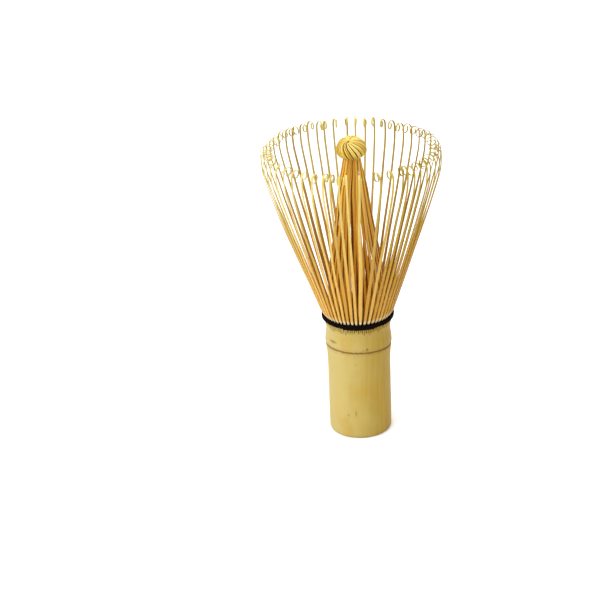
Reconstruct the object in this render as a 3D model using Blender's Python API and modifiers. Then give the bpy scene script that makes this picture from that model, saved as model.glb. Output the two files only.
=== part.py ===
"""Bamboo tea whisk.

One culm of bamboo: a hollow handle whose upper end is split into two rings of springy tines, with a
black thread woven between the rings. The outer tines flare into a cup and end in inward curls. The
inner tines lean together into a slim cone, and their tips are wound into a knob.

Metres, +Z up. The origin is the centre of the handle's foot.
"""
import math

import bpy
from mathutils import Matrix, Vector

MM = 0.001
GAP = 0.3 * MM

# The rings of tines: the culm is quartered down to 18 splits, and each split is cut into fine tines.
SPLITS = 18
SPLIT_ANGLE = 2 * math.pi / SPLITS
FIRST_ANGLE = -math.pi / 2
OUTER_TINES = 3
INNER_TINES = 2

# Handle: (radius, height) in mm. The culm's node is the groove at 32.6 mm, and a wall closes the bore there.
HANDLE_STEPS = 40
HANDLE_TOP = 41.0 * MM
TOP_HOLLOW = ((0.0, 33.4), (5.95, 33.7), (8.16, 35.4), (8.5, 41.0))
HANDLE_OUTSIDE = (
    (11.35, 41.0),
    (11.06, 39.8),
    (10.97, 38.7),
    (11.05, 37.5),
    (11.40, 34.5),
    (11.30, 33.1),
    (11.05, 32.9),
    (11.05, 32.3),
    (11.25, 32.0),
    (11.15, 30.7),
    (10.88, 28.4),
    (10.80, 20.0),
    (10.75, 0.9),
    (10.50, 0.3),
    (9.95, 0.0),
)
BORE = ((7.9, 0.0), (7.6, 0.5), (7.5, 28.6), (6.08, 30.7), (0.0, 31.4))

# Roots of the tines, above the handle's top
ROOT_BOTTOM = HANDLE_TOP + GAP
ROOT_TOP = 44.6 * MM
ROOT_THICKNESS = 0.8 * MM
OUTER_ROOT_RADIUS = 11.35 * MM
OUTER_ROOT_WIDTH = 3.3 * MM
OUTER_TINE_ROOT_WIDTH = 0.98 * MM
WAIST_WIDTH = 2.5 * MM
WAIST_TOP = 44.2 * MM
WAIST_BOTTOM = 42.6 * MM
WAIST_STEP = 0.2 * MM
FLARE = 0.4 * MM
INNER_ROOT_RADIUS = 9.45 * MM
INNER_ROOT_WIDTH = 2.6 * MM
INNER_TINE_ROOT_WIDTH = 1.15 * MM

# Thread
THREAD_HEIGHT = 43.4 * MM
THREAD_RADIUS = 0.25 * MM
THREAD_OUTSIDE = 11.97 * MM
THREAD_CROSSING = 12.17 * MM
THREAD_IN_SLIT = 10.95 * MM
THREAD_INSIDE = 10.1 * MM
ROW_RISE = 0.36 * MM
SLIT_RISE = 0.55 * MM
INSIDE_RISE = 0.3 * MM
END_RISE = 0.02 * MM
# Where its bends are, in splits from the middle of a split
OUTSIDE_REACH = 0.42
INSIDE_REACH = 0.40
END_LAP = 0.06

# The axis on which a split of outer tines bends, level with the thread
HINGE_RADIUS = 11.0 * MM

# Curl of an outer tine: it starts upright at the rim and tightens as it turns inward and down.
RIM_RADIUS = 29.8 * MM
CURL_START = 101.7 * MM
CURL_WIDTH = 0.75 * MM
CURL_THICKNESS = 0.16 * MM
CURL_TURN = math.radians(320)
CURL_STEPS = 8
CURL_OPEN_RADIUS = 3.2 * MM
CURL_MID_RADIUS = 1.6 * MM
CURL_TIGHT_RADIUS = 1.25 * MM

# Knob: a flattened ball whose wound tips meet in a dimple in front of its top
KNOB_BOTTOM = 99.4 * MM
KNOB_NECK_RADIUS = 3.4 * MM
KNOB_MIDDLE = 102.9 * MM
KNOB_RADIUS = 5.0 * MM
KNOB_TOP = 107.1 * MM
KNOB_DIMPLE = 0.7 * MM
DIMPLE_PLACE = (-0.6 * MM, -2.4 * MM)
DIMPLE_RADIUS = 0.8 * MM
KNOB_RIDGES = 18
KNOB_GROOVE = 0.32 * MM
KNOB_TWIST = math.radians(75)
UNDERSIDE_SHARE = 0.85
UNDERSIDE_POWER = 0.6
DOME_POWER = 0.8
RING_DEGREES = range(-60, 80, 15)

# Stations along the free length of a tine: height, radius of its skin, width, thickness, in mm.
OUTER_STATIONS = (
    (45.8, 12.55, 1.05, 0.60),
    (48.0, 13.45, 1.10, 0.50),
    (60.0, 17.65, 1.05, 0.42),
    (74.0, 22.50, 0.95, 0.35),
    (88.0, 27.05, 0.85, 0.28),
    (96.2, 29.40, 0.78, 0.20),
)
INNER_STATIONS = (
    (54.0, 9.25, 1.20, 0.60),
    (62.0, 8.90, 1.15, 0.50),
    (70.0, 7.70, 1.00, 0.40),
    (78.0, 6.50, 0.85, 0.35),
    (86.0, 5.45, 0.70, 0.30),
    (92.0, 4.50, 0.56, 0.25),
    (99.0, 3.25, 0.40, 0.20),
)


def remove_scene_objects():
    for thing in list(bpy.data.objects):
        bpy.data.objects.remove(thing, do_unlink=True)


def new_collection(name):
    collection = bpy.data.collections.new(name)
    bpy.context.scene.collection.children.link(collection)
    return collection


def new_material(name, colour, roughness):
    material = bpy.data.materials.new(name)
    material.use_nodes = True
    shader = material.node_tree.nodes["Principled BSDF"]
    shader.inputs["Base Color"].default_value = (*colour, 1.0)
    shader.inputs["Roughness"].default_value = roughness
    shader.inputs["Metallic"].default_value = 0.0
    return material


def new_object(name, data, material, collection):
    if not data.materials:
        data.materials.append(material)
    thing = bpy.data.objects.new(name, data)
    collection.objects.link(thing)
    return thing


def new_mesh(name, vertices, faces):
    mesh = bpy.data.meshes.new(name)
    mesh.from_pydata(vertices, [], faces)
    mesh.update()
    return mesh


def build_handle(material, collection):
    profile = TOP_HOLLOW + HANDLE_OUTSIDE + BORE
    points = [(radius * MM, 0.0, height * MM) for radius, height in profile]
    edges = [(i, i + 1) for i in range(len(points) - 1)]
    mesh = bpy.data.meshes.new("handle")
    mesh.from_pydata(points, edges, [])
    mesh.update()
    handle = new_object("handle", mesh, material, collection)
    screw = handle.modifiers.new("turn", "SCREW")
    screw.axis = "Z"
    screw.angle = 2 * math.pi
    screw.steps = HANDLE_STEPS
    screw.render_steps = HANDLE_STEPS
    screw.use_merge_vertices = True
    screw.merge_threshold = 0.00001
    screw.use_smooth_shade = True


def curl_radius(turned):
    """Bend radius of a curl after it has turned by an angle: it tightens fast, then slowly."""
    quarter = math.pi / 2
    if turned < quarter:
        return CURL_OPEN_RADIUS + (CURL_MID_RADIUS - CURL_OPEN_RADIUS) * turned / quarter
    share = (turned - quarter) / (CURL_TURN - quarter)
    return CURL_MID_RADIUS + (CURL_TIGHT_RADIUS - CURL_MID_RADIUS) * share


def curl_stations():
    """(height, radius, width, thickness) round the inward curl at the tip of an outer tine."""
    fine_steps = 20
    radius, height = RIM_RADIUS, CURL_START
    stations = [(height, radius, CURL_WIDTH, CURL_THICKNESS)]
    step = CURL_TURN / (CURL_STEPS * fine_steps)
    for i in range(CURL_STEPS * fine_steps):
        turned = (i + 0.5) * step
        bend = curl_radius(turned)
        radius -= bend * math.sin(turned) * step
        height += bend * math.cos(turned) * step
        if (i + 1) % fine_steps == 0:
            stations.append((height, radius, CURL_WIDTH, CURL_THICKNESS))
    return stations


def in_metres(stations):
    return [tuple(value * MM for value in station) for station in stations]


def split_mesh(name, rows, top_row, tines, stations):
    """One split: a flat root strip that carries several tines, as an open sheet of its skin side.

    It is drawn for the split that faces +X. rows are (radius, height, width) of the plain root, top_row
    is (radius, height, tine width, tine pitch) of the line where the tines part, and stations are those
    of each tine. Returns the mesh and the thickness at each vertex.
    """
    vertices, faces, thickness = [], [], []

    def add(radius, height, offset, angle, thick):
        turn = Matrix.Rotation(angle, 4, "Z")
        vertices.append(turn @ Vector((radius, offset, height)))
        thickness.append(thick)
        return len(vertices) - 1

    below = None
    for radius, height, width in rows:
        left = add(radius, height, -width / 2, 0.0, ROOT_THICKNESS)
        right = add(radius, height, width / 2, 0.0, ROOT_THICKNESS)
        if below:
            faces.append((*below, right, left))
        below = (left, right)

    radius, height, width, pitch = top_row
    middles = [(i - (tines - 1) / 2) for i in range(tines)]
    feet = []
    for middle in middles:
        offset = middle * pitch
        left = add(radius, height, offset - width / 2, 0.0, ROOT_THICKNESS)
        right = add(radius, height, offset + width / 2, 0.0, ROOT_THICKNESS)
        feet.append((left, right))
    top = [corner for foot in feet for corner in foot]
    faces.append((*below, *reversed(top)))

    for middle, foot in zip(middles, feet):
        angle = middle * SPLIT_ANGLE / tines
        below = foot
        for height, radius, width, thick in stations:
            left = add(radius, height, -width / 2, angle, thick)
            right = add(radius, height, width / 2, angle, thick)
            faces.append((*below, right, left))
            below = (left, right)
    return new_mesh(name, vertices, faces), thickness


def give_thickness(thing, thickness):
    """Solidify towards the inside of the whisk, with each vertex's own thickness."""
    group = thing.vertex_groups.new(name="thickness")
    for index, value in enumerate(thickness):
        group.add([index], value / ROOT_THICKNESS, "REPLACE")
    solidify = thing.modifiers.new("thickness", "SOLIDIFY")
    solidify.thickness = ROOT_THICKNESS
    solidify.offset = -1.0
    solidify.vertex_group = group.name
    solidify.use_rim = True


def build_splits(name, mesh, thickness, pivot, material, collection):
    """A copy of the split at each of its places round the culm, with its origin at pivot."""
    mesh.transform(Matrix.Translation(-Vector(pivot)))
    mesh.shade_smooth()
    mesh.set_sharp_from_angle(angle=math.radians(35))
    for number in range(SPLITS):
        angle = FIRST_ANGLE + number * SPLIT_ANGLE
        thing = new_object(f"{name}_{number + 1:02d}", mesh, material, collection)
        thing.location = Matrix.Rotation(angle, 3, "Z") @ Vector(pivot)
        thing.rotation_euler = (0.0, 0.0, angle)
        give_thickness(thing, thickness)


def build_outer_tines(material, collection):
    rows = [
        (OUTER_ROOT_RADIUS, ROOT_BOTTOM, OUTER_ROOT_WIDTH),
        (OUTER_ROOT_RADIUS, WAIST_BOTTOM - WAIST_STEP, OUTER_ROOT_WIDTH),
        (OUTER_ROOT_RADIUS, WAIST_BOTTOM, WAIST_WIDTH),
        (OUTER_ROOT_RADIUS, WAIST_TOP, WAIST_WIDTH),
    ]
    top_radius = OUTER_ROOT_RADIUS + FLARE
    pitch = top_radius * SPLIT_ANGLE / OUTER_TINES
    top_row = (top_radius, ROOT_TOP, OUTER_TINE_ROOT_WIDTH, pitch)
    stations = in_metres(OUTER_STATIONS) + curl_stations()
    mesh, thickness = split_mesh("outer_tines", rows, top_row, OUTER_TINES, stations)
    pivot = (HINGE_RADIUS, 0.0, THREAD_HEIGHT)
    build_splits("outer_tines", mesh, thickness, pivot, material, collection)


def build_inner_tines(material, collection):
    rows = [
        (INNER_ROOT_RADIUS, ROOT_BOTTOM, INNER_ROOT_WIDTH),
        (INNER_ROOT_RADIUS, WAIST_TOP, INNER_ROOT_WIDTH),
    ]
    pitch = INNER_ROOT_WIDTH - INNER_TINE_ROOT_WIDTH
    top_row = (INNER_ROOT_RADIUS, ROOT_TOP, INNER_TINE_ROOT_WIDTH, pitch)
    stations = in_metres(INNER_STATIONS)
    mesh, thickness = split_mesh("inner_tines", rows, top_row, INNER_TINES, stations)
    pivot = (INNER_ROOT_RADIUS, 0.0, ROOT_BOTTOM)
    build_splits("inner_tines", mesh, thickness, pivot, material, collection)


def knob_rings():
    """(radius, height or None where the dome gives it) up the knob, from its neck to the dimple's lip."""
    under = UNDERSIDE_SHARE * (KNOB_MIDDLE - KNOB_BOTTOM)
    rings = [(KNOB_NECK_RADIUS, KNOB_BOTTOM)]
    for degrees in RING_DEGREES:
        angle = math.radians(degrees)
        if degrees < 0:
            radius = KNOB_RADIUS * math.cos(angle) ** UNDERSIDE_POWER
            rings.append((radius, KNOB_MIDDLE + under * math.sin(angle)))
        else:
            rings.append((KNOB_RADIUS * math.cos(angle) ** DOME_POWER, None))
    rings.append((DIMPLE_RADIUS, None))
    return rings


def knob_point(radius, height, angle, groove):
    """A point of a ring. Above the middle, rings close in on the dimple and lie on the dome."""
    x, y = radius * math.cos(angle), radius * math.sin(angle)
    if height is None:
        shift = 1 - radius / KNOB_RADIUS
        x += shift * DIMPLE_PLACE[0]
        y += shift * DIMPLE_PLACE[1]
        inside = max(0.0, 1 - (x * x + y * y) / KNOB_RADIUS**2)
        height = KNOB_MIDDLE + (KNOB_TOP - KNOB_MIDDLE) * math.sqrt(inside)
    middle = Vector((0.0, 0.0, KNOB_MIDDLE))
    return middle + (1 - groove / KNOB_RADIUS) * (Vector((x, y, height)) - middle)


def build_knob(material, collection):
    """The wound tips of the inner tines: a loft of fluted rings that turn as they rise."""
    around = 2 * KNOB_RIDGES
    vertices = [Vector((0.0, 0.0, KNOB_BOTTOM))]
    faces = []
    rings = knob_rings()
    for number, (radius, height) in enumerate(rings):
        twist = -KNOB_TWIST * number / (len(rings) - 1)
        depth = 0.0 if number == 0 else KNOB_GROOVE * radius / KNOB_RADIUS
        for i in range(around):
            angle = twist + 2 * math.pi * i / around
            vertices.append(knob_point(radius, height, angle, (i % 2) * depth))
    vertices.append(knob_point(0.0, None, 0.0, KNOB_DIMPLE))
    last = len(vertices) - 1
    for i in range(around):
        following = (i + 1) % around
        faces.append((0, 1 + following, 1 + i))
        for ring in range(len(rings) - 1):
            low = 1 + ring * around
            high = low + around
            faces.append((low + i, low + following, high + following))
            faces.append((low + i, high + following, high + i))
        top = 1 + (len(rings) - 1) * around
        faces.append((top + i, top + following, last))
    mesh = new_mesh("tip_knob", vertices, faces)
    mesh.shade_smooth()
    mesh.set_sharp_from_angle(angle=math.radians(25))
    new_object("tip_knob", mesh, material, collection)


def thread_route():
    """(angle in splits, radius, height) of the thread's middle line, stitch by stitch.

    Each stitch runs forward outside two splits, low over the first and high over the second, then goes
    in through the slit and back behind one split, so every split is held from both sides.
    """
    low, high = THREAD_HEIGHT - ROW_RISE, THREAD_HEIGHT + ROW_RISE
    route = [(-END_LAP, THREAD_INSIDE, THREAD_HEIGHT - END_RISE)]
    for split in range(SPLITS):
        route += [
            (split - INSIDE_REACH, THREAD_INSIDE, THREAD_HEIGHT - INSIDE_RISE),
            (split - 0.5, THREAD_IN_SLIT, THREAD_HEIGHT - SLIT_RISE),
            (split - OUTSIDE_REACH, THREAD_OUTSIDE, low),
            (split + OUTSIDE_REACH, THREAD_OUTSIDE, low),
            (split + 0.5, THREAD_CROSSING, THREAD_HEIGHT),
            (split + 1 - OUTSIDE_REACH, THREAD_OUTSIDE, high),
            (split + 1 + OUTSIDE_REACH, THREAD_OUTSIDE, high),
            (split + 1.5, THREAD_IN_SLIT, THREAD_HEIGHT + SLIT_RISE),
            (split + 1 + INSIDE_REACH, THREAD_INSIDE, THREAD_HEIGHT + INSIDE_RISE),
        ]
    route.append((SPLITS + END_LAP, THREAD_INSIDE, THREAD_HEIGHT + END_RISE))
    return route


def build_thread(material, collection):
    curve = bpy.data.curves.new("thread", "CURVE")
    curve.dimensions = "3D"
    curve.bevel_depth = THREAD_RADIUS
    curve.bevel_resolution = 2
    curve.use_fill_caps = True
    curve.twist_mode = "MINIMUM"
    route = thread_route()
    spline = curve.splines.new("POLY")
    spline.points.add(len(route) - 1)
    for point, (split, radius, height) in zip(spline.points, route):
        angle = FIRST_ANGLE + split * SPLIT_ANGLE
        point.co = (radius * math.cos(angle), radius * math.sin(angle), height, 1.0)
    spline.use_smooth = True
    new_object("thread", curve, material, collection)


def main():
    remove_scene_objects()
    whisk = new_collection("tea_whisk")
    culm = new_material("culm_bamboo", (0.62, 0.50, 0.24), 0.45)
    outer = new_material("outer_tine_bamboo", (0.75, 0.52, 0.18), 0.5)
    inner = new_material("inner_tine_bamboo", (0.68, 0.42, 0.12), 0.5)
    tips = new_material("wound_tip_bamboo", (0.78, 0.60, 0.26), 0.5)
    cotton = new_material("black_cotton", (0.02, 0.018, 0.02), 0.85)
    build_handle(culm, whisk)
    build_outer_tines(outer, whisk)
    build_inner_tines(inner, whisk)
    build_knob(tips, whisk)
    build_thread(cotton, whisk)


main()
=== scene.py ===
"""Looks of the bamboo tea whisk: culm, split tines, wound knob and woven thread, and the studio round it."""
import math

import bpy
import numpy as np
from mathutils import Matrix, Vector


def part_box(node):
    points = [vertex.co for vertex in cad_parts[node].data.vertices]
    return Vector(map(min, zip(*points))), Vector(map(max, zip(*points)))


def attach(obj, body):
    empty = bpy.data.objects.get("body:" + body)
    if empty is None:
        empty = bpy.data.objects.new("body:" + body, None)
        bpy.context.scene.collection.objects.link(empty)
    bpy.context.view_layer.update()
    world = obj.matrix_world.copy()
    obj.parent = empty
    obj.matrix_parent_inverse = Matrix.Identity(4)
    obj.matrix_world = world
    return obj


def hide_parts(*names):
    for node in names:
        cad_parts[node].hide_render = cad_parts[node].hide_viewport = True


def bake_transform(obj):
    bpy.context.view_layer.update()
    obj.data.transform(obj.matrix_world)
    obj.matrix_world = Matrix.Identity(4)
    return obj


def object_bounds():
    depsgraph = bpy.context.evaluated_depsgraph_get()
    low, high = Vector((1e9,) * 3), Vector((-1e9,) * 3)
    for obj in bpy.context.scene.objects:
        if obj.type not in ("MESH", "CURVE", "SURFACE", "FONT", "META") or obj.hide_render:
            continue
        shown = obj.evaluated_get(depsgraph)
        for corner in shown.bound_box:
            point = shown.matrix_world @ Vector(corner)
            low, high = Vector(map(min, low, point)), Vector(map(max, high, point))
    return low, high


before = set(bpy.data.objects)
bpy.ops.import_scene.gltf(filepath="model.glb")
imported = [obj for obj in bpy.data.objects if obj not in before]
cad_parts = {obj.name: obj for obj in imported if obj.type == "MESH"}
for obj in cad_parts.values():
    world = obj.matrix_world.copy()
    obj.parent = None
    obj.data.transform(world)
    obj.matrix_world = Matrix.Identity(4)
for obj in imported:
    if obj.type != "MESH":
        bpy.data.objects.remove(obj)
cad_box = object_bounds()
chance = np.random.default_rng(41)

MM = 0.001

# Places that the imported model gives
CULM_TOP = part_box("handle")[1].z
CULM_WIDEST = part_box("handle")[1].x
THREAD_HEIGHT = (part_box("thread")[0].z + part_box("thread")[1].z) / 2
KNOB_LOW, KNOB_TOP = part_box("tip_knob")[0].z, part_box("tip_knob")[1].z
KNOB_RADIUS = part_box("tip_knob")[1].x
RIM_RADIUS = cad_box[1].y
RIM_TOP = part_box("outer_tines_01")[1].z

SPLITS = sum(name.startswith("outer_tines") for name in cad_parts)
OUTER_PER_SPLIT = 3
INNER_PER_SPLIT = 2
FIRST_ANGLE = -math.pi / 2
# The culm's radius in millimetres, which turns an angle into a distance round its skin
CULM_MM = 11.0
# Height of the node's line, and how far it wanders up and down, in millimetres
NODE_HEIGHT = 32.6 * MM
NODE_WANDER = 0.3
# How far a curl rises above the straight part of its tine
CURL_RISE = 2.63 * MM
# How far the tops of both rings of tines lean to the left
OUTER_LEAN = 0.85 * MM
INNER_LEAN = 0.60 * MM
# Steps of the tines round the culm, the place of the front among them, and how much tighter one side is
ROOT_STEP = 2 * math.pi / (SPLITS * OUTER_PER_SPLIT)
FIRST_TINE = 1.75
ROOT_TIGHTER = 0.485
# Rise of the node's plane for each unit towards the back, and for each unit towards the right
NODE_SLOPE_BACK = -0.054
NODE_SLOPE_RIGHT = -0.026

# Camera, from where the foot's centre stands in its view
CAMERA_LENS = 103.2
CAMERA_PITCH = math.radians(24.98)
CAMERA_ROLL = math.radians(-2.5)
FOOT_RIGHT = 21.5 * MM
FOOT_BELOW = 43.6 * MM
FOOT_DEPTH = 607.6 * MM


# ---------------------------------------------------------------- shapes

def smooth_through(x, knots):
    """Height of a smooth curve through knots [(x, y), ...] at the places x."""
    xs, ys = (np.array(column, float) for column in zip(*knots))
    slopes = np.gradient(ys, xs)
    x = np.clip(x, xs[0], xs[-1])
    i = np.clip(np.searchsorted(xs, x) - 1, 0, len(xs) - 2)
    span = xs[i + 1] - xs[i]
    t = (x - xs[i]) / span
    return (
        (2 * t**3 - 3 * t**2 + 1) * ys[i]
        + (t**3 - 2 * t**2 + t) * span * slopes[i]
        + (3 * t**2 - 2 * t**3) * ys[i + 1]
        + (t**3 - t**2) * span * slopes[i + 1]
    )


def ease(x, low, high):
    t = np.clip((x - low) / (high - low), 0, 1)
    return t * t * (3 - 2 * t)


def lean(rings, amount):
    """Moves points above the thread to the left, by the amount at the height of the rim."""
    rings = np.array(rings, float)
    share = np.clip((rings[..., 2] - THREAD_HEIGHT) / (RIM_TOP - THREAD_HEIGHT), 0, None)
    rings[..., 0] -= amount * share
    return rings


class Shape:
    """Vertices, faces, UV maps and point values of one piece, gathered part by part."""

    def __init__(self):
        self.vertices, self.faces, self.grain, self.place, self.skin = [], [], [], [], []
        self.slots = []
        self.count = 0

    def tube(self, rings, grain_across, grain_along, place, skin, slot=0):
        """Closed tube through rings (stations x points x 3). grain_across has one value more than a ring
        has points, grain_along and place one for each station, skin one for each point of a ring."""
        stations, around = rings.shape[:2]
        base = self.count
        self.vertices.append(rings.reshape(-1, 3))
        self.skin.append(np.tile(skin, stations))
        self.count += stations * around
        for i in range(stations - 1):
            for j in range(around):
                k = (j + 1) % around
                low, high = base + i * around, base + (i + 1) * around
                self.faces.append((low + j, low + k, high + k, high + j))
                self.slots.append(slot)
                for across, station in ((j, i), (j + 1, i), (j + 1, i + 1), (j, i + 1)):
                    self.grain.append((grain_across[across], grain_along[station]))
                    self.place.append(place[station])
        for station, flip in ((0, True), (stations - 1, False)):
            ring = [base + station * around + j for j in range(around)]
            order = list(range(around))
            if flip:
                ring.reverse()
                order.reverse()
            self.faces.append(tuple(ring))
            self.slots.append(slot)
            for j in order:
                self.grain.append((grain_across[j], grain_along[station]))
                self.place.append(place[station])

    def piece(self, name, materials, sharp=40):
        mesh = bpy.data.meshes.new(name)
        mesh.from_pydata(np.vstack(self.vertices).tolist(), [], self.faces)
        for layer_name, values in (("grain", self.grain), ("place", self.place)):
            layer = mesh.uv_layers.new(name=layer_name)
            layer.data.foreach_set("uv", np.array(values, np.float32).ravel())
        skin = mesh.attributes.new("skin", "FLOAT", "POINT")
        skin.data.foreach_set("value", np.concatenate(self.skin).astype(np.float32))
        for material in materials:
            mesh.materials.append(material)
        mesh.polygons.foreach_set("material_index", self.slots)
        mesh.shade_smooth()
        mesh.set_sharp_from_angle(angle=math.radians(sharp))
        thing = bpy.data.objects.new(name, mesh)
        bpy.context.scene.collection.objects.link(thing)
        return thing


def strip_rings(middle, outward, sideways, half_width, half_thick):
    """Rings of a flat strip with eased corners, its skin side towards outward."""
    flat, upright = 1 - 0.16, 1 - 0.35
    corners = (
        (-flat, 1), (flat, 1), (1, upright), (1, -upright),
        (flat, -1), (-flat, -1), (-1, -upright), (-1, upright),
    )
    rings = [
        middle + sideways * (half_width * u)[:, None] + outward * (half_thick * v)[:, None]
        for u, v in corners
    ]
    return np.stack(rings, axis=1)


STRIP_SKIN = np.array([1, 1, 0.6, 0, 0, 0, 0, 0.6], float)
STRIP_ACROSS = np.array([0, 1, 1.15, 1.5, 1.65, 2.65, 2.8, 3.15, 3.3], float)


def unit(vectors):
    return vectors / np.linalg.norm(vectors, axis=1)[:, None]


def strip_along(shape, path, outward, width, thick, leaning, tilt, along=None):
    """Adds a strip whose skin side follows path. tilt turns it about its own length, in radians."""
    tangent = unit(np.gradient(path, axis=0))
    sideways = unit(np.cross(tangent, outward))
    outward = unit(np.cross(sideways, tangent))
    turn = np.broadcast_to(tilt, len(path))
    cosine, sine = np.cos(turn)[:, None], np.sin(turn)[:, None]
    sideways, outward = sideways * cosine + outward * sine, outward * cosine - sideways * sine
    middle = path - outward * (thick / 2)[:, None]
    rings = lean(strip_rings(middle, outward, sideways, width / 2, thick / 2), leaning)
    steps = np.linalg.norm(np.diff(path, axis=0), axis=1)
    length = np.concatenate(([0], np.cumsum(steps))) / MM
    start = chance.uniform(0, 400, 2)
    shade = chance.uniform(0, 1)
    share = length / length[-1] if along is None else along
    place = np.stack([np.full(len(path), shade), share], axis=1)
    across = start[0] + STRIP_ACROSS * float(np.mean(width)) / MM
    shape.tube(rings, across, start[1] + length, place, STRIP_SKIN)


# ---------------------------------------------------------------- materials

class Nodes:
    """A material's node tree, with short calls for the nodes used here."""

    def __init__(self, name):
        self.material = bpy.data.materials.new(name)
        self.material.use_nodes = True
        self.tree = self.material.node_tree
        self.shader = self.tree.nodes["Principled BSDF"]

    def link(self, value, socket):
        if isinstance(value, bpy.types.NodeSocket):
            self.tree.links.new(value, socket)
        else:
            socket.default_value = value

    def math(self, operation, a, b=0.0, clamp=False):
        node = self.tree.nodes.new("ShaderNodeMath")
        node.operation = operation
        node.use_clamp = clamp
        self.link(a, node.inputs[0])
        self.link(b, node.inputs[1])
        return node.outputs[0]

    def spread(self, value, low, high, to_low=0.0, to_high=1.0):
        """Smooth step of value from low..high to to_low..to_high."""
        node = self.tree.nodes.new("ShaderNodeMapRange")
        node.interpolation_type = "SMOOTHSTEP"
        for socket, number in zip(node.inputs, (value, low, high, to_low, to_high)):
            self.link(number, socket)
        return node.outputs[0]

    def combine(self, x, y, z=0.0):
        node = self.tree.nodes.new("ShaderNodeCombineXYZ")
        for socket, value in zip(node.inputs, (x, y, z)):
            self.link(value, socket)
        return node.outputs[0]

    def scaled(self, x, x_scale, y, y_scale, z=0.0):
        """A place in a texture, with x and y stretched."""
        return self.combine(self.math("MULTIPLY", x, x_scale), self.math("MULTIPLY", y, y_scale), z)

    def noise(self, vector, detail, roughness):
        node = self.tree.nodes.new("ShaderNodeTexNoise")
        node.inputs["Scale"].default_value = 1.0
        node.inputs["Detail"].default_value = detail
        node.inputs["Roughness"].default_value = roughness
        self.link(vector, node.inputs["Vector"])
        return node.outputs["Fac"]

    def cells(self, vector):
        """(distance to the nearest cell's point, random colour of that cell)."""
        node = self.tree.nodes.new("ShaderNodeTexVoronoi")
        node.inputs["Scale"].default_value = 1.0
        self.link(vector, node.inputs["Vector"])
        return node.outputs["Distance"], node.outputs["Color"]

    def mix(self, share, a, b, blend="MIX"):
        node = self.tree.nodes.new("ShaderNodeMix")
        node.data_type = "RGBA"
        node.blend_type = blend
        node.clamp_factor = True
        self.link(share, node.inputs[0])
        for socket, colour in ((node.inputs[6], a), (node.inputs[7], b)):
            self.link(colour if isinstance(colour, bpy.types.NodeSocket) else (*colour, 1.0), socket)
        return node.outputs[2]

    def tint(self, colour, mask, strength, towards):
        """Colour moved towards another where the mask is, by at most the strength."""
        return self.mix(self.math("MULTIPLY", mask, strength), colour, towards)

    def split(self, vector):
        node = self.tree.nodes.new("ShaderNodeSeparateXYZ")
        self.link(vector, node.inputs[0])
        return node.outputs[0], node.outputs[1], node.outputs[2]

    def object_mm(self):
        """(x, y, z) of the surface point in millimetres."""
        place = self.tree.nodes.new("ShaderNodeTexCoord").outputs["Object"]
        return tuple(self.math("MULTIPLY", part, 1000.0) for part in self.split(place))

    def uv(self, name):
        node = self.tree.nodes.new("ShaderNodeUVMap")
        node.uv_map = name
        return self.split(node.outputs[0])[:2]

    def value(self, name):
        node = self.tree.nodes.new("ShaderNodeAttribute")
        node.attribute_name = name
        return node.outputs["Fac"]

    def bump(self, height, distance):
        node = self.tree.nodes.new("ShaderNodeBump")
        node.inputs["Strength"].default_value = 1.0
        node.inputs["Distance"].default_value = distance
        self.link(height, node.inputs["Height"])
        return node.outputs[0]

    def finish(self, colour, roughness, normal, specular):
        self.link(colour, self.shader.inputs["Base Color"])
        self.link(roughness, self.shader.inputs["Roughness"])
        self.link(normal, self.shader.inputs["Normal"])
        self.shader.inputs["Specular IOR Level"].default_value = specular
        return self.material


# Blemishes of the culm: angle in degrees, height, half width and half height in mm, strength.
CULM_MARKS = (
    (-100.4, 9.8, 0.30, 1.15, 0.50),
    (-114.6, 8.8, 0.34, 0.36, 0.50),
    (-77.9, 34.6, 0.42, 0.50, 0.75),
    (-84.0, 34.4, 0.26, 0.36, 0.45),
    (-143.0, 36.1, 1.70, 0.46, 0.70),
    (-98.0, 28.7, 0.24, 0.30, 0.40),
    (62.0, 20.0, 0.40, 0.60, 0.50),
    (118.0, 7.0, 0.30, 1.30, 0.40),
)


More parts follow.
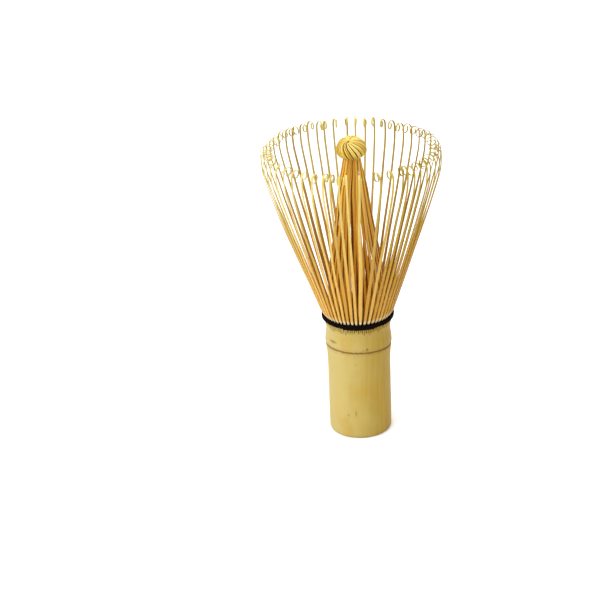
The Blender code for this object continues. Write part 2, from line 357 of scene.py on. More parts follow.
def culm_skin(n):
    """(colour, roughness, height) of polished culm skin: fibres, pale and golden sides partly painted as
    highlight and shade, node line, marks, saw cuts painted dark as shade.
    """
    x, y, z = n.object_mm()
    around = n.math("MULTIPLY", n.math("ARCTAN2", y, x), CULM_MM)
    fine = n.noise(n.scaled(around, 7.0, z, 0.22), 3.0, 0.6)
    hair = n.noise(n.scaled(around, 16.0, z, 0.5), 2.0, 0.5)
    streak = n.noise(n.scaled(around, 0.9, z, 0.03), 3.0, 0.55)
    cloud = n.noise(n.scaled(around, 0.16, z, 0.09, 3.1), 2.0, 0.5)

    # One side of the culm is golden, the other pale: partly its own tone, partly painted shade on the right
    # and a painted highlight on the left.
    tone_and_painted_shade = n.math("ADD", x, n.math("MULTIPLY", n.math("SUBTRACT", cloud, 0.5), 9.0))
    colour = n.mix(n.spread(tone_and_painted_shade, -9.0, 12.0), (0.445, 0.348, 0.112), (0.330, 0.198, 0.005))
    colour = n.tint(colour, n.spread(streak, 0.42, 0.70), 0.35, (0.470, 0.325, 0.060))
    colour = n.tint(colour, n.spread(cloud, 0.50, 0.72), 0.30, (0.420, 0.250, 0.030))
    colour = n.tint(colour, n.spread(fine, 0.54, 0.76), 0.22, (0.260, 0.145, 0.012))
    colour = n.tint(colour, n.spread(hair, 0.56, 0.72), 0.16, (0.540, 0.420, 0.140))

    # Brown specks, longer than wide; most cells have none.
    speck_place = n.scaled(around, 0.5, z, 0.28, 7.0)
    distance, cell = n.cells(speck_place)
    keep = n.spread(n.split(cell)[0], 0.88, 0.93)
    speck = n.math("MULTIPLY", n.spread(distance, 0.04, 0.11, 1.0, 0.0), keep)
    colour = n.tint(colour, speck, 0.45, (0.180, 0.095, 0.020))

    rough_edge = n.math("MULTIPLY", n.math("SUBTRACT", fine, 0.5), 1.4)
    for angle, height, half_width, half_height, strength in CULM_MARKS:
        across = n.math("SUBTRACT", around, math.radians(angle) * CULM_MM)
        across = n.math("DIVIDE", across, half_width)
        up = n.math("DIVIDE", n.math("SUBTRACT", z, height), half_height)
        reach = n.math("SQRT", n.math("ADD", n.math("MULTIPLY", across, across), n.math("MULTIPLY", up, up)))
        mark = n.spread(n.math("ADD", reach, rough_edge), 0.3, 1.5, strength, 0.0)
        colour = n.mix(mark, colour, (0.150, 0.070, 0.012))

    # Node: a thin dark line that wanders a little, with a stained edge above and below.
    level = n.math("SUBTRACT", z, n.math("MULTIPLY", y, NODE_SLOPE_BACK))
    level = n.math("SUBTRACT", level, n.math("MULTIPLY", x, NODE_SLOPE_RIGHT))
    wander = n.noise(n.combine(n.math("MULTIPLY", around, 0.5), 0.0, 1.7), 2.0, 0.5)
    middle = n.math("ADD", n.math("MULTIPLY", wander, NODE_WANDER), (NODE_HEIGHT / MM) - NODE_WANDER / 2)
    apart = n.math("ABSOLUTE", n.math("SUBTRACT", level, middle))
    broken = n.noise(n.scaled(around, 1.1, z, 1.2, 4.0), 3.0, 0.6)
    stain = n.math("MULTIPLY", n.spread(apart, 0.2, 1.9, 1.0, 0.0), n.spread(broken, 0.35, 0.7))
    colour = n.tint(colour, stain, 0.45, (0.240, 0.130, 0.022))
    line = n.math("MULTIPLY", n.spread(apart, 0.14, 0.46, 1.0, 0.0), n.spread(broken, 0.2, 0.5, 0.6, 1.0))
    colour = n.tint(colour, line, 0.80, (0.130, 0.055, 0.008))

    # Saw cuts come down from the thread to their own depths: between the tines, and through their middles.
    # Their dark lines are painted shade in the narrow cuts.
    turned = n.math("ARCTAN2", x, n.math("MULTIPLY", y, -1.0))
    tighter = n.math("MULTIPLY", n.math("SUBTRACT", 1.0, n.math("COSINE", turned)), ROOT_TIGHTER)
    cut = n.math("SUBTRACT", n.math("DIVIDE", turned, ROOT_STEP / 2), n.math("MULTIPLY", tighter, 2.0))
    cut = n.math("ADD", cut, 2 * FIRST_TINE)
    depth = n.noise(n.combine(n.math("MULTIPLY", n.math("ROUND", cut), 3.7), 0.0, 5.0), 0.0, 0.5)
    reach = n.spread(depth, 0.3, 0.7, 41.3, 39.2)
    frayed = n.math("MULTIPLY", n.math("SUBTRACT", fine, 0.5), 0.12)
    edge = n.math("ADD", n.math("PINGPONG", cut, 0.5), frayed)
    above_end = n.spread(n.math("SUBTRACT", z, reach), 0, 0.7)
    cut_shade_line = n.math("MULTIPLY", n.spread(edge, 0.13, 0.30, 1.0, 0.0), above_end)
    colour = n.tint(colour, cut_shade_line, 0.80, (0.110, 0.045, 0.008))

    # Handled edge at the foot, a little darker.
    foot = n.math("MULTIPLY", n.spread(z, 0.1, 1.6, 1.0, 0.0), n.spread(fine, 0.35, 0.6))
    colour = n.tint(colour, foot, 0.30, (0.260, 0.160, 0.040))

    roughness = n.math("ADD", n.math("MULTIPLY", streak, 0.22), n.math("MULTIPLY", line, 0.25))
    roughness = n.math("ADD", roughness, 0.36, clamp=True)
    ribs = n.math("ADD", n.math("MULTIPLY", fine, 0.6), n.math("MULTIPLY", hair, 0.4))
    ribs = n.math("SUBTRACT", ribs, n.math("MULTIPLY", line, 0.8))
    return colour, roughness, ribs


def culm_material():
    n = Nodes("culm_skin")
    colour, roughness, ribs = culm_skin(n)
    return n.finish(colour, roughness, n.bump(ribs, 0.03 * MM), 0.2)


def end_grain_material():
    """Cut end and bore: pale pith with dark bundle ends, closer together towards the skin."""
    n = Nodes("culm_end_grain")
    x, y, z = n.object_mm()
    radius = n.math("SQRT", n.math("ADD", n.math("MULTIPLY", x, x), n.math("MULTIPLY", y, y)))
    around = n.math("MULTIPLY", n.math("ARCTAN2", y, x), CULM_MM)
    distance, _ = n.cells(n.scaled(x, 2.6, y, 2.6, 0.5))
    bundle = n.spread(distance, 0.16, 0.34, 1.0, 0.0)
    dense = n.spread(radius, 8.0, 10.8, 0.35, 1.0)
    fibres = n.noise(n.scaled(around, 5.0, z, 0.3, radius), 3.0, 0.6)
    colour = n.mix(fibres, (0.430, 0.300, 0.110), (0.540, 0.420, 0.200))
    colour = n.mix(n.math("MULTIPLY", bundle, dense), colour, (0.190, 0.100, 0.030))
    height = n.math("ADD", n.math("MULTIPLY", bundle, -0.4), fibres)
    return n.finish(colour, n.spread(fibres, 0.2, 0.8, 0.6, 0.8), n.bump(height, 0.06 * MM), 0.25)


def tine_material(name, skin_low, skin_high, cut_low, cut_high, vary, from_culm=False):
    """Split bamboo: fibres along the tine, glossy skin on one side, warmer cut wood on the others.

    from_culm keeps the culm's own skin at the roots, paints a pale highlight on the tines' skin just above
    the thread, and turns the tines golden and darker towards the right, partly with painted shade.
    """
    n = Nodes(name)
    across, along = n.uv("grain")
    shade, share = n.uv("place")
    skin = n.value("skin")
    fibre = n.noise(n.scaled(across, 9.0, along, 0.45), 3.0, 0.6)
    patch = n.noise(n.scaled(across, 1.2, along, 0.14, shade), 2.0, 0.5)
    height = n.spread(share, 0.34, 0.86)
    skin_colour = n.mix(height, skin_low, skin_high)
    cut_colour = n.mix(height, cut_low, cut_high)
    colour = n.mix(skin, cut_colour, skin_colour)
    darker = n.mix(1.0, colour, (0.62, 0.50, 0.34), "MULTIPLY")
    paler = n.mix(0.30, colour, (0.780, 0.600, 0.220))
    colour = n.mix(n.math("MULTIPLY", n.spread(shade, 0.0, 0.5, 1.0, 0.0), vary * 1.5), colour, darker)
    colour = n.mix(n.math("MULTIPLY", n.spread(shade, 0.6, 1.0), vary * 2.0), colour, paler)
    colour = n.tint(colour, n.spread(fibre, 0.50, 0.72), 0.45, darker)
    colour = n.tint(colour, n.spread(patch, 0.52, 0.75), 0.40, paler)
    roughness = n.math("ADD", n.math("MULTIPLY", fibre, 0.25), n.math("MULTIPLY", skin, -0.15))
    roughness = n.math("ADD", roughness, 0.48, clamp=True)
    if from_culm:
        x, _, z = n.object_mm()
        # Darker and more golden towards the right: partly the culm's golden side carried up the tines, partly
        # painted shade on tines facing away from the key light.
        golden = n.mix(1.0, colour, (0.71, 0.62, 0.19), "MULTIPLY")
        colour = n.mix(n.spread(x, 1.0, 16.0, 0.0, 0.95), colour, golden)
        # Painted highlight: the tines' skin turns pale just above the thread.
        painted_highlight_above_thread = n.math("MULTIPLY", n.spread(z, 44.6, 46.8, 0.55, 0.0), skin)
        colour = n.mix(painted_highlight_above_thread, colour, (0.800, 0.700, 0.480))
        at_root = n.math("MULTIPLY", n.spread(z, 42.6, 43.4, 1.0, 0.0), n.spread(skin, 0.4, 0.8))
        colour = n.mix(at_root, colour, culm_skin(n)[0])
    material = n.finish(colour, roughness, n.bump(fibre, 0.02 * MM), 0.1)
    n.shader.inputs["Subsurface Weight"].default_value = 0.12
    n.shader.inputs["Subsurface Radius"].default_value = (0.9, 0.55, 0.2)
    n.shader.inputs["Subsurface Scale"].default_value = 0.6 * MM
    return material


def painted_shade_inside_material():
    """Painted shade: the knob's inside, coloured near black, seen only as the dark between its strips."""
    n = Nodes("knob_inside_painted_shade")
    x, y, z = n.object_mm()
    grain = n.noise(n.scaled(x, 2.0, y, 2.0, z), 3.0, 0.6)
    colour = n.mix(grain, (0.060, 0.024, 0.004), (0.150, 0.070, 0.014))
    return n.finish(colour, n.spread(grain, 0.2, 0.8, 0.75, 0.95), n.bump(grain, 0.05 * MM), 0.1)


def cotton_material():
    """Dyed cotton: near black, with the plies' fine fibres and pale brown patches, partly dusty and partly a
    painted sheen.
    """
    n = Nodes("black_cotton")
    across, along = n.uv("grain")
    slant = n.math("ADD", n.math("MULTIPLY", across, 3.0), n.math("MULTIPLY", along, 2.2))
    lint = n.noise(n.scaled(slant, 2.2, along, 0.6), 3.0, 0.65)
    dust_and_sheen = n.noise(n.combine(across, along, 2.0), 3.0, 0.6)
    colour = n.mix(n.spread(lint, 0.4, 0.75), (0.0014, 0.0005, 0.0004), (0.0120, 0.0068, 0.0048))
    # Pale brown patches: partly dusty, partly a painted sheen.
    colour = n.tint(colour, n.spread(dust_and_sheen, 0.60, 0.8), 0.3, (0.036, 0.023, 0.015))
    return n.finish(colour, n.spread(lint, 0.3, 0.8, 0.85, 1.0), n.bump(lint, 0.06 * MM), 0.05)


# ---------------------------------------------------------------- culm

def culm_radius(height):
    """Outer radius of the culm at heights above the foot, both in millimetres."""
    node = NODE_HEIGHT / MM
    knots = [
        (0.0, 10.74), (10.0, 10.80), (20.0, 10.80), (27.5, 10.86), (node - 2.2, 11.08),
        (node - 1.0, 11.26), (node - 0.6, 11.30), (node - 0.2, 11.06), (node + 0.2, 11.04),
        (node + 0.6, 11.33), (node + 1.9, CULM_WIDEST / MM), (37.5, 11.05), (38.7, 10.97),
        (39.8, 11.06), (41.0, 11.38),
    ]
    return smooth_through(height, knots)


# Rounded edge of the foot, in millimetres
FOOT_EDGE_HEIGHT = 0.9
FOOT_EDGE_DEPTH = 0.72


def culm_profile():
    """[(radius, height, material slot of the band below it)], from inside the top, down and up the bore."""
    node, top = NODE_HEIGHT / MM, CULM_TOP / MM
    inside = [(0.05, node + 0.8), (4.0, node + 0.85), (6.0, node + 1.1), (7.6, node + 2.0), (8.2, node + 3.2)]
    inside += [(8.4, 38.5), (8.6, top - 0.1), (8.8, top)]
    outer_heights = np.concatenate((np.arange(top, 1.0, -0.35), [0.9, 0.65, 0.42, 0.25, 0.12, 0.04, 0.0]))
    rounding = 1 - np.clip(outer_heights / FOOT_EDGE_HEIGHT, 0, 1)
    foot_round = FOOT_EDGE_DEPTH * (1 - np.sqrt(np.clip(1 - rounding**2, 0, 1)))
    outer = list(zip(culm_radius(outer_heights) - foot_round, outer_heights))
    bore = [(8.3, 0.0), (8.0, 0.1), (7.8, 0.35), (7.65, 0.9), (7.6, 6.0), (7.55, 14.0), (7.5, 22.0)]
    bore += [(7.45, node - 4.2), (6.9, node - 2.6), (5.6, node - 1.7), (3.0, node - 1.25), (0.05, node - 1.2)]
    return [(r, h, 1) for r, h in inside] + [(r, h, 0) for r, h in outer] + [(r, h, 1) for r, h in bore]


def build_culm(materials):
    """The turned culm, a touch out of round, as the plant grows."""
    around = 192
    rows = culm_profile()
    angles = np.arange(around) * 2 * math.pi / around
    oval = 0.0035 * np.cos(2 * angles + 0.6) + 0.002 * np.cos(3 * angles - 1.1)
    node = NODE_HEIGHT / MM
    vertices = []
    for radius, height, _ in rows:
        reach = radius * (1 + oval * (height > 0.0))
        x, y = reach * np.cos(angles), reach * np.sin(angles)
        near_node = ease(height, node - 6.0, node - 2.0) * (1 - ease(height, node + 2.0, node + 6.0))
        heights = height + near_node * (NODE_SLOPE_BACK * y + NODE_SLOPE_RIGHT * x)
        vertices.append(np.stack([x, y, heights], axis=1) * MM)
    faces, slots = [], []
    for i in range(len(rows) - 1):
        for j in range(around):
            k = (j + 1) % around
            faces.append((i * around + j, (i + 1) * around + j, (i + 1) * around + k, i * around + k))
            slots.append(1 if rows[i][2] or rows[i + 1][2] else 0)
    faces.append(tuple(range(around)))
    slots.append(1)
    faces.append(tuple((len(rows) - 1) * around + j for j in reversed(range(around))))
    slots.append(1)
    mesh = bpy.data.meshes.new("culm")
    mesh.from_pydata(np.vstack(vertices).tolist(), [], faces)
    for material in materials:
        mesh.materials.append(material)
    mesh.polygons.foreach_set("material_index", slots)
    mesh.shade_smooth()
    mesh.set_sharp_from_angle(angle=math.radians(50))
    culm = bpy.data.objects.new("culm_handle", mesh)
    bpy.context.scene.collection.objects.link(culm)
    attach(culm, "culm")
    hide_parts("handle")


# ---------------------------------------------------------------- outer tines

def tine_profile():
    """[(height, skin radius)] of an outer tine in millimetres, from inside the culm's top to its curl."""
    top = CULM_TOP / MM
    rim = RIM_RADIUS / MM
    return [
        (top - 0.6, 11.28), (top, 11.38), (top + 1.6, 11.55), (top + 2.4, 11.60), (top + 3.2, 11.66),
        (top + 3.9, 12.15), (top + 4.7, 12.60), (top + 6.8, 13.38), (55.3, 16.0), (62.7, 18.6),
        (70.0, 21.1), (77.3, 23.6), (84.5, 25.95), (89.5, 27.45), (93.7, 28.7), (97.0, 0.990 * rim),
        (99.5, 0.998 * rim), ((RIM_TOP - CURL_RISE) / MM, rim),
    ]


# Width of the saw cut between two tines, and tines that were cut wider than the others
SLIT_WIDTH = 0.30 * MM
WIDE_TINES = {2: 1.30, 11: 1.20, 34: 1.25, 47: 1.2}
# Closed curls whose plane has turned towards the wider gap beside them, by how much for each unit inwards
TURNED_CURLS = {3: 0.36, 4: 0.26}
FULL_CURL = math.radians(480)
# Range of the other curls' turn in degrees, of the curls' sizes, and of their sideways drift in millimetres
CURL_TURN = (380, 500)
CURL_SIZE = (0.94, 1.12)
CURL_DRIFT = (0.55, 1.35)
CURL_STEPS = 60


# How far tines have drifted round the rim, in degrees, by their angle from the front in degrees. There are
# wider gaps at the front, right of the middle, and at the back.
RIM_DRIFT = (
    (-75, 0), (-60, 0.5), (-45, 2.0), (-38, 3.0), (-32, 4.2), (-25, 4.5), (-18, 3.0), (-12, 1.7), (-5, 0),
    (1.7, 1.0), (8, 7.6), (15, 9.0), (22, 9.0), (28, 6.6), (35, 5.0), (48, 2.7), (62, 0.8), (75, 0),
    (168, 0), (175, 0), (181.5, -2.0), (188, 1.1), (195, 0.5), (201, -0.3), (222, -1.6), (240, -1.5),
)


def root_angle(number):
    """Angle at which an outer tine leaves the thread: even steps, a little tighter on one side."""
    turned = (number - FIRST_TINE) * ROOT_STEP
    return FIRST_ANGLE + turned + ROOT_TIGHTER * ROOT_STEP * (1 - math.cos(turned))


def rim_angle(number):
    """Angle of an outer tine at the rim."""
    angle = root_angle(number)
    turned = math.degrees(angle - FIRST_ANGLE)
    return angle + math.radians(np.interp(turned, *zip(*RIM_DRIFT), period=360))


def curl_path(radius, height, size, turn, steps):
    """(radius, height) points of an inward curl that tightens as it turns."""
    turned = (np.arange(steps) + 0.5) * turn / steps
    bend = np.interp(turned, [0, math.pi / 2, 2 * math.pi, 3 * math.pi], [3.2, 1.62, 1.15, 0.75]) * MM * size
    radii = radius - np.cumsum(bend * np.sin(turned)) * turn / steps
    heights = height + np.cumsum(bend * np.cos(turned)) * turn / steps
    return radii, heights


def add_outer_tine(shape, number):
    top = CULM_TOP / MM
    turn = math.radians(chance.uniform(*CURL_TURN))
    if number in TURNED_CURLS:
        turn = FULL_CURL
    size = chance.uniform(*CURL_SIZE)
    start = (RIM_TOP - CURL_RISE * size) / MM
    heights = np.concatenate((np.arange(top - 0.5, top + 7.0, 0.35), np.linspace(top + 7.4, start, 30))) * MM
    radii = smooth_through(heights / MM, tine_profile()) * MM
    share = ease(heights, 50 * MM, start * MM)
    reach = np.clip(chance.normal(0, 0.20), -0.4, 0.3) * MM
    bow = chance.normal(0, 0.12) * MM
    radii += reach * share + bow * np.sin(math.pi * share)
    heights += np.clip(chance.normal(-0.1, 0.28), -0.7, 0.3) * MM * share
    curl_radii, curl_heights = curl_path(radii[-1], heights[-1], size, turn, CURL_STEPS)
    straight = len(heights)
    radii = np.concatenate((radii, curl_radii))
    heights = np.concatenate((heights, curl_heights))

    progress = np.concatenate((share, np.ones(CURL_STEPS)))
    curled = np.concatenate((np.zeros(straight), np.linspace(0, 1, CURL_STEPS)))
    sway = np.clip(chance.normal(0, 0.12), -0.3, 0.3) * MM
    wander = chance.normal(0, 0.12) * MM
    away = -1 if math.cos(root_angle(number)) < 0 else 1
    drift = chance.uniform(*CURL_DRIFT) * away * chance.choice((1, -0.7), p=(0.8, 0.2))
    sideways = sway * progress + wander * np.sin(2 * math.pi * progress)
    if number in TURNED_CURLS:
        sideways -= TURNED_CURLS[number] * np.where(curled > 0, radii[straight - 1] - radii, 0)
    else:
        sideways += drift * MM * curled
    risen = np.clip((heights - THREAD_HEIGHT) / (start * MM - THREAD_HEIGHT), 0, 1)
    angle = root_angle(number) + (rim_angle(number) - root_angle(number)) * risen * RIM_RADIUS / radii
    radial = np.stack([np.cos(angle), np.sin(angle), np.zeros(len(angle))], axis=1)
    tangential = np.stack([-np.sin(angle), np.cos(angle), np.zeros(len(angle))], axis=1)
    path = radii[:, None] * radial + sideways[:, None] * tangential
    path[:, 2] = heights

    slope = unit(np.stack([np.gradient(radii), np.gradient(heights)], axis=1))
    outward = slope[:, 1][:, None] * radial
    outward[:, 2] = -slope[:, 0]
    root = ROOT_STEP * 11.5 - SLIT_WIDTH / MM
    plump = WIDE_TINES.get(number, chance.uniform(0.86, 1.14))
    widths = [
        (top - 0.6, root), (top + 1.5, root), (top + 2.0, 0.86), (top + 3.6, 0.74), (top + 5.0, 0.82),
        (top + 9.0, 0.98 * plump), (60.0, 1.00 * plump), (74.0, 0.86 * plump), (88.0, 0.72 * plump**0.5),
        (start, 0.64),
    ]
    level = np.where(np.arange(len(heights)) < straight, heights / MM, start)
    width = np.interp(level, *zip(*widths)) * MM * (1 - 0.25 * curled)
    thicks = [(top - 0.6, 0.9), (top + 3.4, 0.75), (48.0, 0.55), (60.0, 0.44), (78.0, 0.32), (94.0, 0.20)]
    thicks += [(start, 0.19)]
    thick = np.interp(level, *zip(*thicks)) * MM * (1 - 0.35 * curled)
    tilt = chance.normal(0, 0.12) * progress
    along = np.concatenate((np.linspace(0, 0.8, straight), np.linspace(0.8, 1.0, CURL_STEPS)))
    strip_along(shape, path, outward, width, thick, OUTER_LEAN, tilt, along)


def build_outer_tines(material):
    """Three tines to a split. They bend between the thread and a third of their length."""
    for split in range(SPLITS):
        shape = Shape()
        for tine in range(OUTER_PER_SPLIT):
            add_outer_tine(shape, split * OUTER_PER_SPLIT + tine)
        piece = shape.piece(f"outer_split_{split + 1:02d}", [material])
        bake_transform(piece)
        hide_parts(f"outer_tines_{split + 1:02d}")


# ---------------------------------------------------------------- inner tines

# Height of the inner tines' ends inside the knob, in millimetres
CONE_TOP = 102.0
# How far every other tine lies behind its neighbours, in millimetres, and the tips' turn in degrees
COVERED_DEPTH = 0.45
TIP_SWIRL = 14


def cone_profile():
    """[(height, skin radius)] of the inner cone in millimetres."""
    return [
        (40.6, 9.45), (44.5, 9.55), (50.0, 9.70), (55.0, 9.70), (60.0, 9.35), (66.0, 8.50), (74.9, 7.1),
        (83.7, 5.85), (89.0, 5.15), (92.6, 4.50), (96.0, 3.7), (99.0, 3.15), (CONE_TOP, 2.6),
    ]


def add_inner_tine(shape, number):
    total = SPLITS * INNER_PER_SPLIT
    heights = np.linspace(CULM_TOP / MM - 0.4, CONE_TOP, 46)
    radii = smooth_through(heights, cone_profile())
    covered = number % 2
    gather = ease(heights, 58.0, 90.0)
    radii -= (COVERED_DEPTH * covered + chance.uniform(0, 0.15)) * gather
    bow = chance.normal(0, 0.16)
    radii += bow * np.sin(math.pi * ease(heights, 46.0, 96.0))
    angle = FIRST_ANGLE + (number - 0.5) * 2 * math.pi / total
    cross = np.clip(chance.normal(0, 2.7), -5, 5)
    wander = chance.normal(0, 1.1)
    drift = cross * gather + wander * np.sin(math.pi * gather)
    swirl = TIP_SWIRL * ease(heights, 88.0, CONE_TOP)
    angles = angle + np.radians(drift + swirl)
    path = np.stack([radii * np.cos(angles), radii * np.sin(angles), heights], axis=1) * MM
    outward = np.stack([np.cos(angles), np.sin(angles), np.zeros(len(angles))], axis=1)
    plump = chance.uniform(0.85, 1.15)
    width = np.interp(heights, [40, 46, 56, 66, 80, 98], [1.2, 1.06, 0.98, 0.90, 0.82, 0.72]) * MM * plump
    thick = np.interp(heights, [40, 60, 80, 98], [0.7, 0.5, 0.36, 0.26]) * MM
    tilt = chance.normal(0, 0.16) * gather
    strip_along(shape, path, outward, width, thick, INNER_LEAN, tilt)


def build_inner_tines(material):
    for split in range(SPLITS):
        shape = Shape()
        for tine in range(INNER_PER_SPLIT):
            add_inner_tine(shape, split * INNER_PER_SPLIT + tine)
        piece = shape.piece(f"inner_split_{split + 1:02d}", [material])
        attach(piece, "culm")
        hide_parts(f"inner_tines_{split + 1:02d}")


# ---------------------------------------------------------------- knob

# Height at which the knob is widest, the strips in it, and how far each winds round it
KNOB_MIDDLE = KNOB_LOW + 3.0 * MM
KNOB_STRIPS = SPLITS * INNER_PER_SPLIT
KNOB_TURN = math.radians(56)
# Middle and half width of the sector, right of the front, where the strips are thinner and dark shows.
KNOB_OPEN_SIDE = math.radians(32)
KNOB_OPEN_HALF = math.radians(36)
# The rise at which the strips leave the neck, and how far the two strips of a pair have moved together
STRIP_LOW = -0.84
PAIR_SHIFT = 0.10
# The wound tips meet in a dimple in front of the knob's top.
DIMPLE_PLACE = np.array([-1.1 * MM, -2.3 * MM])


def knob_point(rise, angle, out):
    """Points on the knob, at rise from -1 under it, through 0 where it is widest, to 1 in its dimple.

    out moves them outwards from the knob's middle.
    """
    turn = np.radians(90 * rise)
    over = rise > 0
    radius = np.where(over, np.cos(turn) ** 0.8, np.cos(turn)) * KNOB_RADIUS
    radius = np.where(over, radius, np.maximum(radius, 2.7 * MM))
    shift = np.where(over, 1 - radius / KNOB_RADIUS, 0)
    x = radius * np.cos(angle) + shift * DIMPLE_PLACE[0]
    y = radius * np.sin(angle) + shift * DIMPLE_PLACE[1]
    inside = np.clip(1 - (x * x + y * y) / KNOB_RADIUS**2, 0, 1)
    dome = (KNOB_TOP - KNOB_MIDDLE) * np.sqrt(inside) - 0.4 * MM * ease(rise, 0.82, 1.0)
    under = 0.90 * (KNOB_MIDDLE - KNOB_LOW) * np.sin(turn)
    point = np.stack([x, y, np.where(over, dome, under)], axis=1)
    point *= 1 + out / KNOB_RADIUS
    point[:, 2] += KNOB_MIDDLE
    return point


def add_knob_strip(shape, number):
    """One wound tip, from the neck over the shoulder into the dimple. The tips lie in pairs, as split."""
    rise = np.linspace(STRIP_LOW, chance.uniform(0.93, 0.99), 44)
    in_pair = PAIR_SHIFT if number % 2 == 0 else -PAIR_SHIFT
    start = FIRST_ANGLE + (number + in_pair + chance.normal(0, 0.07)) * 2 * math.pi / KNOB_STRIPS
    turned = (rise - STRIP_LOW) / (1 - STRIP_LOW)
    angle = start - KNOB_TURN * (0.5 * turned + 0.5 * turned**2)
    path = knob_point(rise, angle, chance.normal(0.10, 0.08) * MM)
    outward = unit(path - np.array([0, 0, KNOB_MIDDLE - 0.6 * MM]))
    reach = np.linalg.norm(path[:, :2] - DIMPLE_PLACE * np.clip(rise, 0, 1)[:, None], axis=1) / KNOB_RADIUS
    broad = chance.choice((0.74, 0.80, 0.88, 1.15), p=(0.30, 0.35, 0.20, 0.15))
    if abs(start - FIRST_ANGLE - KNOB_OPEN_SIDE) < KNOB_OPEN_HALF:
        broad = chance.choice((0.68, 0.76))
    width = np.clip(0.88 * np.clip(reach, 0, 1) ** 0.9, 0.26, None) * broad * MM
    width *= 1 - 0.45 * (1 - ease(rise, STRIP_LOW, -0.45))
    thick = np.full(len(path), 0.30) * MM
    tilt = math.radians(chance.uniform(6, 24))
    strip_along(shape, path, outward, width, thick, INNER_LEAN, tilt)


def add_knob_inside(shape):
    """Dark heart under the strips: painted shade seen between them."""
    rise = np.linspace(-0.98, 0.98, 24)
    around = 32
    angles = np.arange(around) * 2 * math.pi / around
    rings = np.stack([knob_point(np.full(around, level), angles, -0.56 * MM) for level in rise])
    place = np.stack([np.full(len(rise), 0.5), np.linspace(0, 1, len(rise))], axis=1)
    across = np.linspace(0, 30, around + 1)
    shape.tube(lean(rings, INNER_LEAN), across, rise * 5, place, np.zeros(around), 1)


def build_knob(materials):
    shape = Shape()
    for number in range(KNOB_STRIPS):
        add_knob_strip(shape, number)
    add_knob_inside(shape)
    piece = shape.piece("wound_tips", materials)
    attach(piece, "culm")
    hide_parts("tip_knob")


# ---------------------------------------------------------------- thread

# Length of one turn of the thread's plies, and the way round the thread in millimetres
TWIST_LENGTH = 2.2 * MM
THREAD_GIRTH = 2.2


def thread_route():
    """Middle line of the thread and its half width and half height at each point.

    Each stitch runs forward outside two tines, low then high, dives through the slit and comes back
    behind one tine. At the front the first and last stitches overlap, so the band is broader there.
    """
    total = SPLITS * OUTER_PER_SPLIT
    high = THREAD_HEIGHT + 0.36 * MM
    outside, crossing, slit, inside = 12.02 * MM, 12.10 * MM, 11.15 * MM, 10.25 * MM
    squeezed = (0.20, 0.50)
    route = []
    for tine in range(total // 2, total // 2 + total):
        from_front = (tine - FIRST_TINE + total / 2) % total - total / 2
        overlap = 1.0 if -4.4 < from_front < 3.8 else 0.0
        low = THREAD_HEIGHT - (0.38 + 0.17 * overlap + chance.uniform(-0.05, 0.05)) * MM
        full = (0.34, 0.42 + 0.10 * overlap)
        route += [
            (tine - 0.36, inside, THREAD_HEIGHT - 0.3 * MM, full),
            (tine - 0.5, slit, THREAD_HEIGHT - 0.5 * MM, squeezed),
            (tine - 0.38, outside, low, full),
            (tine + 0.30, outside, low, full),
            (tine + 0.5, crossing, THREAD_HEIGHT, full),
            (tine + 0.70, outside, high, full),
            (tine + 1.34, outside, high, full),
            (tine + 1.5, slit + 0.25 * MM, THREAD_HEIGHT + 0.85 * MM, squeezed),
            (tine + 1.36, inside, THREAD_HEIGHT + 0.35 * MM, full),
        ]
    points = []
    for place, radius, height, _ in route:
        whole = math.floor(place)
        angle = root_angle(whole) * (1 - place + whole) + root_angle(whole + 1) * (place - whole)
        points.append((radius * math.cos(angle), radius * math.sin(angle), height))
    return np.array(points), np.array([sizes for *_, sizes in route]) * MM


def refine(values, per_span):
    """Catmull-Rom through the rows of values."""
    padded = np.vstack([values[:1], values, values[-1:]])
    t = (np.arange(per_span) / per_span)[:, None, None]
    a, b, c, d = padded[:-3], padded[1:-2], padded[2:-1], padded[3:]
    curve = 0.5 * (2 * b + (c - a) * t + (2 * a - 5 * b + 4 * c - d) * t**2 + (3 * b - a - 3 * c + d) * t**3)
    return np.vstack([curve.transpose(1, 0, 2).reshape(-1, values.shape[1]), values[-1:]])


def build_thread(material):
    points, sizes = thread_route()
    path = refine(points, 6)
    sizes = refine(sizes, 6)
    tangent = unit(np.gradient(path, axis=0))
    up = np.tile([0.0, 0.0, 1.0], (len(path), 1))
    sideways = unit(np.cross(tangent, up))
    upward = unit(np.cross(sideways, tangent))
    steps = np.linalg.norm(np.diff(path, axis=0), axis=1)
    length = np.concatenate(([0], np.cumsum(steps)))
    around = 12
    angles = np.arange(around) * 2 * math.pi / around
    twist = 2 * math.pi * length / TWIST_LENGTH
    rings = []
    for angle in angles:
        plies = 1 + 0.10 * np.cos(3 * (angle - twist))
        rings.append(
            path
            + sideways * (np.cos(angle) * sizes[:, 0] * plies)[:, None]
            + upward * (np.sin(angle) * sizes[:, 1] * plies)[:, None]
        )
    rings = np.stack(rings, axis=1)
    place = np.stack([np.full(len(path), 0.5), length / length[-1]], axis=1)
    shape = Shape()
    girth = np.linspace(0, THREAD_GIRTH, around + 1)
    shape.tube(rings, girth, length / MM, place, np.zeros(around))
    piece = shape.piece("bound_thread", [material], sharp=80)
    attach(piece, "culm")
    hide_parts("thread")


# ---------------------------------------------------------------- studio

# Half the floor's side, and the height that the lamps are aimed at
FLOOR_HALF = 4.0
AIM_HEIGHT = 60 * MM


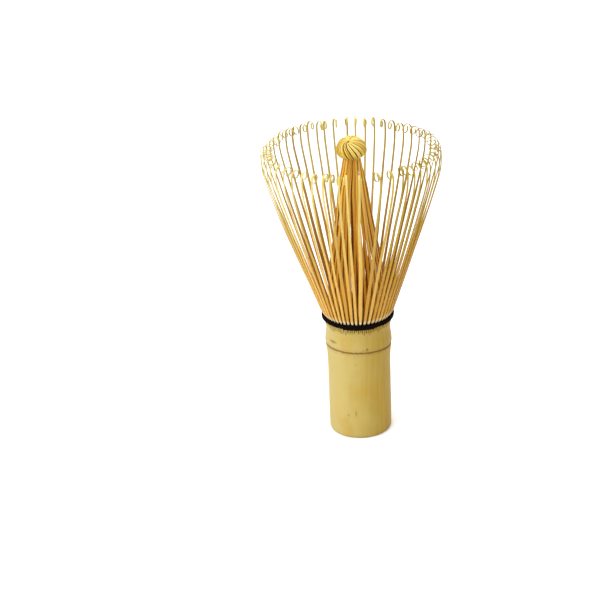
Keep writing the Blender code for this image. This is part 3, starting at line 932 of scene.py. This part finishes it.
def build_studio():
    mesh = bpy.data.meshes.new("floor")
    reach = FLOOR_HALF
    corners = [(-reach, -reach, 0), (reach, -reach, 0), (reach, reach, 0), (-reach, reach, 0)]
    mesh.from_pydata(corners, [], [(0, 1, 2, 3)])
    n = Nodes("floor_paper")
    x, y, _ = n.object_mm()
    fibre = n.noise(n.scaled(x, 0.5, y, 0.5, 0.0), 3.0, 0.6)
    colour = n.mix(fibre, (0.965, 0.965, 0.96), (0.985, 0.985, 0.98))
    mesh.materials.append(n.finish(colour, n.spread(fibre, 0, 1, 0.75, 0.85), n.bump(fibre, 0.02 * MM), 0.1))
    floor = bpy.data.objects.new("floor", mesh)
    bpy.context.scene.collection.objects.link(floor)

    world = bpy.data.worlds.new("studio")
    world.use_nodes = True
    world.node_tree.nodes["Background"].inputs["Color"].default_value = (1.0, 1.0, 1.0, 1.0)
    world.node_tree.nodes["Background"].inputs["Strength"].default_value = 0.60
    bpy.context.scene.world = world

    lights = (
        ("key", (-0.86, -0.71, 0.62), 1.6, 14.0),
        ("top", (0.0, 0.0, 1.0), 1.4, 11.0),
        ("back", (-0.2, 1.1, 0.8), 1.0, 3.0),
    )
    for name, place, size, power in lights:
        light = bpy.data.lights.new(name, "AREA")
        light.size = size
        light.energy = power
        lamp = bpy.data.objects.new(name, light)
        lamp.location = place
        aim = Vector((0, 0, AIM_HEIGHT)) - Vector(place)
        lamp.rotation_euler = aim.to_track_quat("-Z", "Y").to_euler()
        bpy.context.scene.collection.objects.link(lamp)
    bpy.context.scene.view_settings.view_transform = "Standard"


def build_camera():
    camera = bpy.data.cameras.new("camera")
    camera.lens = CAMERA_LENS
    camera.clip_start = 0.01
    eye = bpy.data.objects.new("camera", camera)
    pitch = Matrix.Rotation(math.pi / 2 - CAMERA_PITCH, 3, "X")
    turn = pitch @ Matrix.Rotation(CAMERA_ROLL, 3, "Z")
    foot = Vector((FOOT_RIGHT, -FOOT_BELOW, -FOOT_DEPTH))
    eye.matrix_world = Matrix.Translation(turn @ -foot) @ turn.to_4x4()
    bpy.context.scene.collection.objects.link(eye)
    bpy.context.scene.camera = eye


build_camera()
build_culm([culm_material(), end_grain_material()])
build_outer_tines(tine_material(
    "outer_tine",
    skin_low=(0.555, 0.305, 0.045), skin_high=(0.570, 0.475, 0.135),
    cut_low=(0.475, 0.222, 0.025), cut_high=(0.450, 0.370, 0.105),
    vary=0.3, from_culm=True,
))
# The inner tines' dark red-brown cut sides are partly the cut wood's own colour and partly painted shade in
# the gaps between the strips.
build_inner_tines(tine_material(
    "inner_tine",
    skin_low=(0.530, 0.235, 0.014), skin_high=(0.680, 0.370, 0.050),
    cut_low=(0.400, 0.115, 0.005), cut_high=(0.470, 0.190, 0.012),
    vary=0.55,
))
build_knob([
    tine_material(
        "wound_tip",
        skin_low=(0.640, 0.440, 0.065), skin_high=(0.780, 0.580, 0.150),
        cut_low=(0.360, 0.180, 0.018), cut_high=(0.480, 0.290, 0.050),
        vary=0.60,
    ),
    painted_shade_inside_material(),
])
build_thread(cotton_material())
build_studio()
